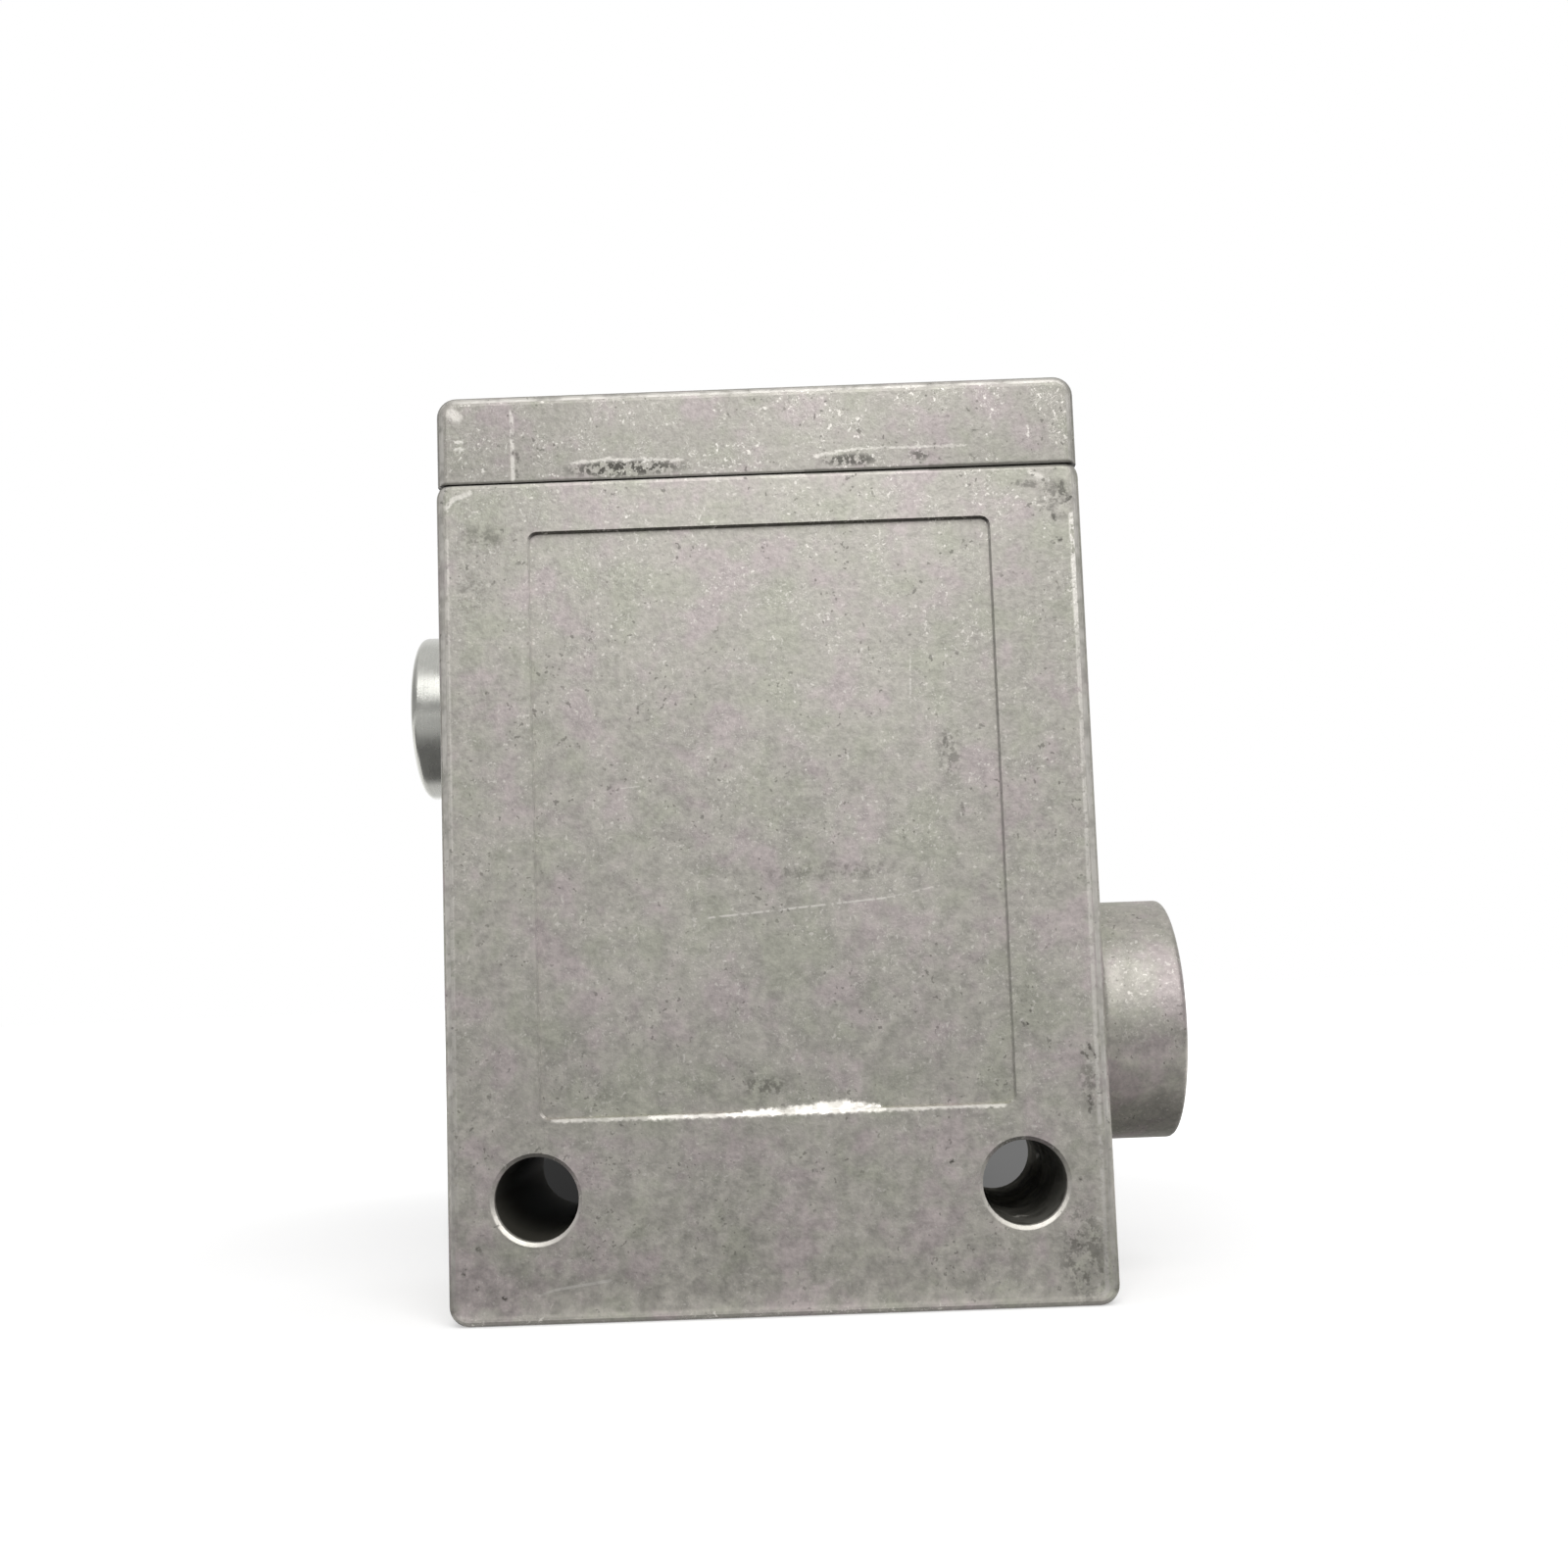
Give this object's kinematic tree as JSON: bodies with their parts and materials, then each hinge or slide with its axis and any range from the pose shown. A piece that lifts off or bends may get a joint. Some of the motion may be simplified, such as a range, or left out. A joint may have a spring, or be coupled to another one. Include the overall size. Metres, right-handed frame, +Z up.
{
  "type": "vacuum ejector",
  "caption": "Block-shaped vacuum ejector with an air reservoir under its cover, a turned supply adapter, an exhaust boss, a suction port in its base and through holes for mounting.",
  "frame": {"origin": "centre of the vacuum port's mouth in the base", "axes": "+X right, out of the exhaust boss; +Y back, away from the sunk front panel; +Z up, towards the cover"},
  "size_m": [0.0625, 0.026, 0.074],
  "materials": {
    "cast_aluminium": "matte as cast, tumbled",
    "turned_aluminium": "bright, turned",
    "brass": "turned",
    "steel": "zinc plated",
    "rubber": "matte"
  },
  "bodies": {
    "block": {"housing": "cast_aluminium", "cover": "cast_aluminium", "cover_gasket": "rubber", "cover_screw_1": "steel", "cover_screw_2": "steel", "cover_screw_3": "steel", "cover_screw_4": "steel", "supply_adapter": "turned_aluminium", "adapter_o_ring": "rubber", "valve_seat": "brass", "seat_o_ring": "rubber", "jet_nozzle": "brass", "jet_o_ring": "rubber", "receiver_nozzle": "brass", "receiver_o_ring": "rubber", "retaining_ring": "steel", "ball_plug": "steel"},
    "cup": {"valve_cup": "rubber"}
  },
  "joints": [
    {"name": "cup_slide", "type": "slide", "parent": "block", "child": "cup", "axis": [1, 0, 0], "range_m": [0, 0.0015]}
  ]
}
